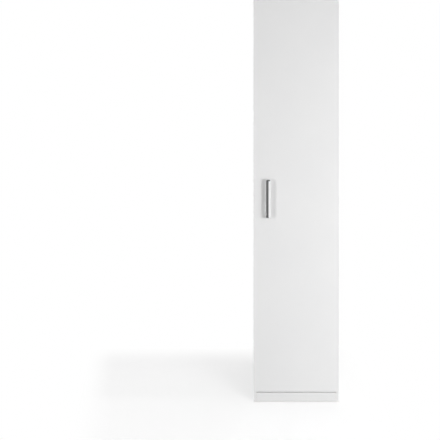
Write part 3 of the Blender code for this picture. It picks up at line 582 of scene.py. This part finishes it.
def handle_path():
    """Centre line of the bow as (outward, height, outward direction, upward direction)."""
    reach = HANDLE_PROJECTION - HANDLE_FRONT_BULGE
    half = HANDLE_HOLE_SPACING / 2
    bend = HANDLE_BEND_RADIUS
    lower = [(HANDLE_SEAT_GAP, -half, 1.0, 0.0)]
    lower += [(reach - bend + bend * up, -half + bend - bend * along, along, up)
              for along, up in sweep(0, 90, HANDLE_BEND_STEPS)]
    middle = [(reach, (2 * step / HANDLE_STRAIGHT_STEPS - 1) * (half - bend), 0.0, 1.0)
              for step in range(1, HANDLE_STRAIGHT_STEPS)]
    upper = [(outward, -height, -along, up) for outward, height, along, up in reversed(lower)]
    return lower + middle + upper


def handle_section():
    """Rounded outline of the bow as (sideways, forward) pairs, fuller in front than behind."""
    power = 2 / HANDLE_SECTION_ROUNDNESS
    points = []
    for sideways, forward in circle(HANDLE_SECTION_STEPS):
        bulge = HANDLE_FRONT_BULGE if forward > 0 else HANDLE_BACK_BULGE
        points.append((HANDLE_WIDTH / 2 * math.copysign(abs(sideways) ** power, sideways),
                       bulge * math.copysign(abs(forward) ** power, forward)))
    return points


def make_handle():
    """The bow handle with the CAD handle's sizes and a rounder bend and section."""
    centre = Vector(((handle_low.x + handle_high.x) / 2, door_low.y, (handle_low.z + handle_high.z) / 2))
    section = handle_section()
    rings = [[centre + Vector((sideways, -(outward + forward * up), height - forward * along))
              for sideways, forward in section]
             for outward, height, along, up in handle_path()]
    made = new_piece("bow_handle", lofted("bow_handle", rings), chrome, "door")
    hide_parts("handle")


# Heads of screws, rivets, caps and nails. Each is a pair of radius and height, and the shares
# below are shares of these
SCREW_STEPS = 24
SMALL_HEAD_STEPS = 16
DOME_STEPS = 5
HEAD_EDGE_SHARE = 0.35
RECESS_HALF_WIDTH_SHARE = 0.13
RECESS_HALF_LENGTH_SHARE = 0.56
RECESS_FLOOR_SHARE = 0.15
RECESS_TAPER = 0.55
CUTTER_TOP_SHARE = 1.5


def dome(radius, height, edge_share):
    """Profile of a low domed disc that stands on z = 0, with an upright edge."""
    edge = height * edge_share
    arch = [(radius * across, edge + (height - edge) * up)
            for across, up in sweep(0, 90, DOME_STEPS)[1:-1]]
    return [(0, 0), (radius, 0), (radius, edge), *arch, (0, height)]


def cross_prism(half_width, half_length, low, high, taper=1.0):
    """A four-armed recess cutter, whose foot is narrower by the taper."""
    a, b = half_width, half_length
    outline = [(a, a), (a, b), (-a, b), (-a, a), (-b, a), (-b, -a),
               (-a, -a), (-a, -b), (a, -b), (a, -a), (b, -a), (b, a)]
    return lofted("cross", [[(x * taper, y * taper, low) for x, y in outline],
                            [(x, y, high) for x, y in outline]])


def screw_head(radius, height):
    """A domed head with a cross recess, standing on z = 0."""
    head = turned(dome(radius, height, HEAD_EDGE_SHARE), SCREW_STEPS)
    recess = cross_prism(radius * RECESS_HALF_WIDTH_SHARE, radius * RECESS_HALF_LENGTH_SHARE,
                         height * RECESS_FLOOR_SHARE, height * CUTTER_TOP_SHARE, RECESS_TAPER)
    return cut(head, recess)


# Fittings of the hinges. The offsets run from the cup's axis, from the inner face of the right
# side panel and from the carcass's front. The turns are degrees for each hinge's number and for
# each side, so that no two recesses stand alike
HINGE_COUNT = 4
SIDES = (-1, 1)
INNER_X = 0.234
CUP_RIM_RADIUS = 0.0187
CUP_WING_OFFSET = 0.0095
CUP_FLANGE_TOP = 0.0013
CUP_SCREW = (0.0038, 0.0013)
CUP_SCREW_HALF_SPACING = 0.024
CUP_SCREW_TURNS = (17, 20)
PLATE_FACE = 0.0023
PLATE_SCREW = (0.0034, 0.0016)
PLATE_SCREW_HALF_SPACING = 0.016
PLATE_SCREW_SETBACK = 0.037
PLATE_SCREW_TURNS = (31, 40)
ARM_HALF_WIDTH = 0.0097
ARM_WEB_FACE = 0.0172
ARM_SCREW = (0.0023, 0.0005)
ARM_SCREW_SUNK = 0.0001
ARM_SCREW_SETBACKS = (0.025, 0.050)
ARM_SCREW_TURN = 23
RIVET = (0.0017, 0.0004)
RIVET_EDGE_SHARE = 0.3
RIVET_PLACES = ((-0.0080, 0.0090), (-0.0130, 0.0015))


def screw_pair(direction, middle, half_spacing, turns, number):
    """Matrices of two screws, one below and one above the middle."""
    across, along, height = middle
    return [facing(direction, (across, along, height + side * half_spacing),
                   turns[0] * number + turns[1] * side) for side in SIDES]


def make_hinge_fittings():
    """Screws and rivets of the four hinges."""
    cup_screw = screw_head(*CUP_SCREW)
    plate_screw = screw_head(*PLATE_SCREW)
    arm_screw = screw_head(*ARM_SCREW)
    rivet = turned(dome(*RIVET, RIVET_EDGE_SHARE), SMALL_HEAD_STEPS)
    wing_y = door_high.y + CUP_FLANGE_TOP
    plate_x = INNER_X - PLATE_FACE
    plate_y = carcass_front + PLATE_SCREW_SETBACK
    arm_x = INNER_X - ARM_WEB_FACE + ARM_SCREW_SUNK
    for number in range(1, HINGE_COUNT + 1):
        cup_low, cup_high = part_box(f"hinge_{number}_cup")
        height = (cup_low.z + cup_high.z) / 2
        wing_x = cup_low.x + CUP_RIM_RADIUS - CUP_WING_OFFSET
        cluster(f"hinge_{number}_cup_screws", cup_screw,
                screw_pair((0, 1, 0), (wing_x, wing_y, height), CUP_SCREW_HALF_SPACING,
                           CUP_SCREW_TURNS, number), screw_steel, "door")
        cluster(f"hinge_{number}_plate_screws", plate_screw,
                screw_pair((-1, 0, 0), (plate_x, plate_y, height), PLATE_SCREW_HALF_SPACING,
                           PLATE_SCREW_TURNS, number), screw_steel, "carcass")
        cluster(f"hinge_{number}_arm_screws", arm_screw,
                [facing((-1, 0, 0), (arm_x, carcass_front + setback, height), ARM_SCREW_TURN * number)
                 for setback in ARM_SCREW_SETBACKS], screw_steel, "carcass")
        cluster(f"hinge_{number}_rivets", rivet,
                [facing((0, 0, side), (INNER_X + across, carcass_front + setback,
                                       height + side * ARM_HALF_WIDTH))
                 for side in SIDES for across, setback in RIVET_PLACES],
                hinge_steel, "carcass")


# Caps over the cam fittings, placed from the board's sides and its front edge
CAP = (0.0085, 0.0011)
CAP_STEPS = 40
CAP_EDGE_SHARE = 0.4
CAP_SIDE_DISTANCE = 0.034
CAP_SETBACKS = (0.060, 0.470)
CAP_NOTCH = (0.0005, 0.0016)
CAP_NOTCH_FLOOR_SHARE = 0.75
CAP_TURN = 45


def make_cam_caps():
    """Plastic caps over the cam fittings, under the top panel and the middle shelf."""
    height = CAP[1]
    disc = turned(dome(*CAP, CAP_EDGE_SHARE), CAP_STEPS)
    notch = cross_prism(*CAP_NOTCH, height * CAP_NOTCH_FLOOR_SHARE, height * CUTTER_TOP_SHARE)
    cap = cut(disc, notch)
    for board_name in ("top_panel", "middle_shelf"):
        low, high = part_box(board_name)
        places = [facing((0, 0, -1), (x, low.y + setback, low.z), CAP_TURN)
                  for x in (low.x + CAP_SIDE_DISTANCE, high.x - CAP_SIDE_DISTANCE)
                  for setback in CAP_SETBACKS]
        cluster(f"cam_caps_{board_name}", cap, places, white_plastic, "carcass")


# Nails
NAIL = (0.0019, 0.0005)
NAIL_EDGE_SHARE = 0.5
NAIL_COUNT = 4
NAIL_SPACING = 0.11


def make_back_nails():
    """Flat nail heads that hold the foot of the lower back panel to the bottom panel."""
    head = turned(dome(*NAIL, NAIL_EDGE_SHARE), SMALL_HEAD_STEPS)
    low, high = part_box("bottom_panel")
    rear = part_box("back_panel_lower")[1].y
    height = (low.z + high.z) / 2
    places = [facing((0, 1, 0), ((index - (NAIL_COUNT - 1) / 2) * NAIL_SPACING, rear, height))
              for index in range(NAIL_COUNT)]
    cluster("back_panel_nails", head, places, screw_steel, "carcass")


# Wall bracket
BRACKET_WIDTH = 0.030
BRACKET_LEG = 0.026
BRACKET_THICKNESS = 0.0020
BRACKET_BEND = 0.0035
BRACKET_BEND_STEPS = 8
BRACKET_CLEARANCE = 0.0004
BRACKET_ROUNDING = 0.0004
BRACKET_ROUNDING_STEPS = 2
BRACKET_SCREW = (0.0045, 0.0020)
BRACKET_SCREW_TURNS = (20, 65)


def bracket_outline():
    """An L as (y, z) pairs: one leg along -Y under Z = 0, and the other down along Y = 0."""
    leg, bend = BRACKET_LEG, BRACKET_BEND
    sides = []
    for depth in (0, BRACKET_THICKNESS):
        corner = [(-bend + (bend - depth) * out, -bend + (bend - depth) * up)
                  for out, up in sweep(90, 0, BRACKET_BEND_STEPS)]
        sides.append([(-leg, -depth), *corner, (-depth, -leg)])
    outer, inner = sides
    return outer + inner[::-1]


def make_wall_bracket():
    """The small steel angle that ties the cabinet to the wall, inside under the top panel."""
    strip = extruded("wall_bracket", bracket_outline(), -BRACKET_WIDTH / 2, BRACKET_WIDTH / 2)
    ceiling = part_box("top_panel")[0].z - BRACKET_CLEARANCE
    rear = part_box("back_panel_upper")[0].y - BRACKET_CLEARANCE
    strip.transform(Matrix.Translation((0, rear, ceiling)))
    made = new_piece("wall_bracket", strip, hinge_steel, "carcass")
    rounded = made.modifiers.new("rounded", "BEVEL")
    rounded.width = BRACKET_ROUNDING
    rounded.segments = BRACKET_ROUNDING_STEPS
    rounded.limit_method = "ANGLE"
    middle = BRACKET_LEG / 2 + BRACKET_BEND / 2
    upper_turn, rear_turn = BRACKET_SCREW_TURNS
    places = [facing((0, 0, -1), (0, rear - middle, ceiling - BRACKET_THICKNESS), upper_turn),
              facing((0, -1, 0), (0, rear - BRACKET_THICKNESS, ceiling - middle), rear_turn)]
    head = screw_head(*BRACKET_SCREW)
    cluster("wall_bracket_screws", head, places, screw_steel, "carcass")


# Seal over the front plinth
SEAL_THICKNESS = 0.0030
SEAL_SETBACK = 0.0090
SEAL_CLEARANCE = 0.0003
SEAL_STEPS = 12


def make_plinth_seal():
    """The soft strip that closes the gap over the front plinth, a little behind its face."""
    low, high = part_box("plinth_front")
    foot = high.z + SEAL_CLEARANCE
    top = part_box("bottom_panel")[0].z - SEAL_CLEARANCE
    half = SEAL_THICKNESS / 2
    middle = low.y + SEAL_SETBACK + half
    outline = [(middle - half, foot), (middle + half, foot)]
    outline += [(middle + half * along, top - half + half * up)
                for along, up in sweep(0, 180, SEAL_STEPS)]
    strip = extruded("plinth_seal", outline, low.x + SEAL_CLEARANCE, high.x - SEAL_CLEARANCE)
    new_piece("plinth_seal", strip, white_plastic, "carcass")


make_handle()
make_hinge_fittings()
make_cam_caps()
make_back_nails()
make_wall_bracket()
make_plinth_seal()


# Studio: floor, and cards that only reflections show
def stage_plane(name, corners, material):
    """A flat face of the surroundings, which isn't a part of the cabinet."""
    mesh = bpy.data.meshes.new(name)
    mesh.from_pydata(corners, [], [tuple(range(len(corners)))])
    mesh.materials.append(material)
    made = bpy.data.objects.new(name, mesh)
    bpy.context.scene.collection.objects.link(made)
    return made


FLOOR_HALF_SIZE = 8.0
# The floor's grey as it lights the cabinet, its grey in the picture, and the glow that lifts the
# latter to the photo's tone, with a little more of it in front of the cabinet
FLOOR_BOUNCE = 0.52
FLOOR_SHOWN = 0.95
FLOOR_LIFT = 0.31
FLOOR_LIFT_FRONT = 0.345
FLOOR_LIFT_SPAN = (-0.17, -0.27)
# Where the floor passes into plain white on each side
FLOOR_FADE_REAR = (0.18, 0.48)
FLOOR_FADE_FRONT = (-0.90, -1.70)
FLOOR_FADE_RIGHT = (0.22, 0.50)
FLOOR_FADE_LEFT = (-1.20, -1.42)
FLOOR_FADE_LEFT_SLANT = 0.55


def make_floor():
    """Matt floor that keeps the shadow, and fades to the white ground away from the cabinet."""
    made, graph = new_material("pale_floor")
    parts = graph.split(graph.place())
    across, along = parts["X"], parts["Y"]
    slanted = graph.math("ADD", across, graph.math("MULTIPLY", along, FLOOR_FADE_LEFT_SLANT))
    fades = ((along, FLOOR_FADE_REAR), (along, FLOOR_FADE_FRONT),
             (slanted, FLOOR_FADE_LEFT), (across, FLOOR_FADE_RIGHT))
    near = graph.chain("MULTIPLY", [graph.ramp(distance, span, (1.0, 0.0)) for distance, span in fades])
    lift = graph.ramp(along, FLOOR_LIFT_SPAN, (FLOOR_LIFT, FLOOR_LIFT_FRONT))
    shown = graph.add("ShaderNodeAddShader", {0: graph.matt(FLOOR_SHOWN), 1: graph.glow(lift)})
    shown = graph.choose(near, graph.glow(1.0), shown)
    graph.surface(graph.choose(graph.seen(), graph.matt(FLOOR_BOUNCE), shown))
    size = FLOOR_HALF_SIZE
    stage_plane("floor", [(-size, -size, 0), (size, -size, 0), (size, size, 0), (-size, size, 0)], made)


# Cards for the handle's reflections
CARD_LEFT = -3.6
CARD_FAR_LEFT = -5.6
CARD_RIGHT = -0.18
CARD_FRONT = -4.2
CARD_REAR = -0.4
CARD_TOP = 5.0
OVERHEAD_RIGHT = 3.0
GROUND_CLEARANCE = 0.01
DARK_RADIANCE = 0.145
OVERHEAD_RADIANCE = 0.06
GREY_RADIANCE = 0.60
GROUND_RADIANCE = 0.15


def reflection_card(name, radiance, corners):
    """A glowing card that is seen only in reflections."""
    made, graph = new_material(name)
    graph.surface(graph.glow(radiance))
    card = stage_plane(name, corners, made)
    card.visible_camera = False
    card.visible_diffuse = False
    card.visible_transmission = False
    card.visible_volume_scatter = False
    card.visible_shadow = False


def make_reflection_cards():
    """Dark cards in front, overhead and on the ground, and a grey one at the left, for the handle."""
    left, right, front, top, rear = CARD_LEFT, CARD_RIGHT, CARD_FRONT, CARD_TOP, CARD_REAR
    far, ground, over = CARD_FAR_LEFT, GROUND_CLEARANCE, OVERHEAD_RIGHT
    reflection_card("card_front", DARK_RADIANCE,
                    [(left, front, 0), (right, front, 0), (right, front, top), (left, front, top)])
    reflection_card("card_overhead", OVERHEAD_RADIANCE,
                    [(left, front, top), (over, front, top), (over, rear, top), (left, rear, top)])
    reflection_card("card_left", GREY_RADIANCE,
                    [(left, front, 0), (far, rear, 0), (far, rear, top), (left, front, top)])
    reflection_card("card_ground", GROUND_RADIANCE,
                    [(left, front, ground), (right, front, ground),
                     (right, rear, ground), (left, rear, ground)])


# World light, which rises from the front to the rear and towards the zenith
WORLD_FRONT = 0.15
WORLD_REAR = 0.60
WORLD_ZENITH = 0.60
WORLD_REAR_SPAN = (-0.1, 0.7)
WORLD_ZENITH_SPAN = (0.35, 1.0)


def make_world():
    """Soft light by direction, behind a plain white background."""
    world = bpy.data.worlds.new("studio")
    bpy.context.scene.world = world
    world.use_nodes = True
    graph = Graph(world.node_tree)
    direction = graph.split(graph.add("ShaderNodeTexCoord", output="Generated"))
    round_about = graph.ramp(direction["Y"], WORLD_REAR_SPAN, (WORLD_FRONT, WORLD_REAR))
    overhead = graph.ramp(direction["Z"], WORLD_ZENITH_SPAN, (0.0, WORLD_ZENITH - WORLD_FRONT))
    strength = graph.math("ADD", round_about, overhead)
    light = graph.add("ShaderNodeBackground", {"Color": WHITE, "Strength": strength})
    blank = graph.add("ShaderNodeBackground", {"Color": WHITE, "Strength": 1.0})
    graph.surface(graph.choose(graph.seen(), light, blank), "ShaderNodeOutputWorld")


# Lamps aimed at the door's face: azimuth in degrees from the front, distance, rise, size and watts
AIM_HEIGHT = 1.2
LAMPS = {
    "key": (41, 5.0, -0.45, 1.45, 88.0),
    "wide": (41, 5.0, -0.2, 2.6, 14.0),
    "outer": (52, 4.5, -0.45, 1.6, 41.0),
    "side": (62, 4.5, -0.6, 2.0, 25.0),
    "high": (40, 4.5, 1.5, 2.0, 8.0),
    "fill": (-51, 6.0, -0.5, 1.0, 93.0),
}
# These stay out of reflections, so the handle shows only the fill and the high lamp
UNREFLECTED_LAMPS = ("key", "wide", "outer", "side")


def make_lamp(name, azimuth, distance, rise, size, energy):
    """A square area lamp aimed at the middle of the door's face."""
    data = bpy.data.lights.new(name, "AREA")
    data.size = size
    data.energy = energy
    made = bpy.data.objects.new(name, data)
    bpy.context.scene.collection.objects.link(made)
    angle = math.radians(azimuth)
    aim = Vector((0, door_low.y, AIM_HEIGHT))
    made.location = aim + Vector((math.sin(angle) * distance, -math.cos(angle) * distance, rise))
    made.rotation_euler = (aim - made.location).to_track_quat("-Z", "Y").to_euler()
    made.visible_glossy = name not in UNREFLECTED_LAMPS


# Camera, level and square to the door. The photo's vanishing point lies off its middle, and is
# given in pixels from the upper left corner
IMAGE_SIZE = 440
VANISHING_X = 296.2
HORIZON_Y = 206.2
FOCAL_PIXELS = 317.6
SENSOR_MILLIMETRES = 36.0
CAMERA_DISTANCE = 1.85
CAMERA_HEIGHT = 1.15


def make_camera():
    """The photo's camera, with its view shifted as the photo's is."""
    data = bpy.data.cameras.new("camera")
    data.sensor_width = SENSOR_MILLIMETRES
    data.lens = FOCAL_PIXELS * SENSOR_MILLIMETRES / IMAGE_SIZE
    data.shift_x = (IMAGE_SIZE / 2 - VANISHING_X) / IMAGE_SIZE
    data.shift_y = (HORIZON_Y - IMAGE_SIZE / 2) / IMAGE_SIZE
    camera = bpy.data.objects.new("camera", data)
    bpy.context.scene.collection.objects.link(camera)
    camera.location = (0, door_low.y - CAMERA_DISTANCE, CAMERA_HEIGHT)
    camera.rotation_euler = (math.radians(90), 0, 0)
    bpy.context.scene.camera = camera


make_world()
make_floor()
make_reflection_cards()
make_camera()
for lamp_name, settings in LAMPS.items():
    make_lamp(lamp_name, *settings)
bpy.context.scene.view_settings.view_transform = "Standard"
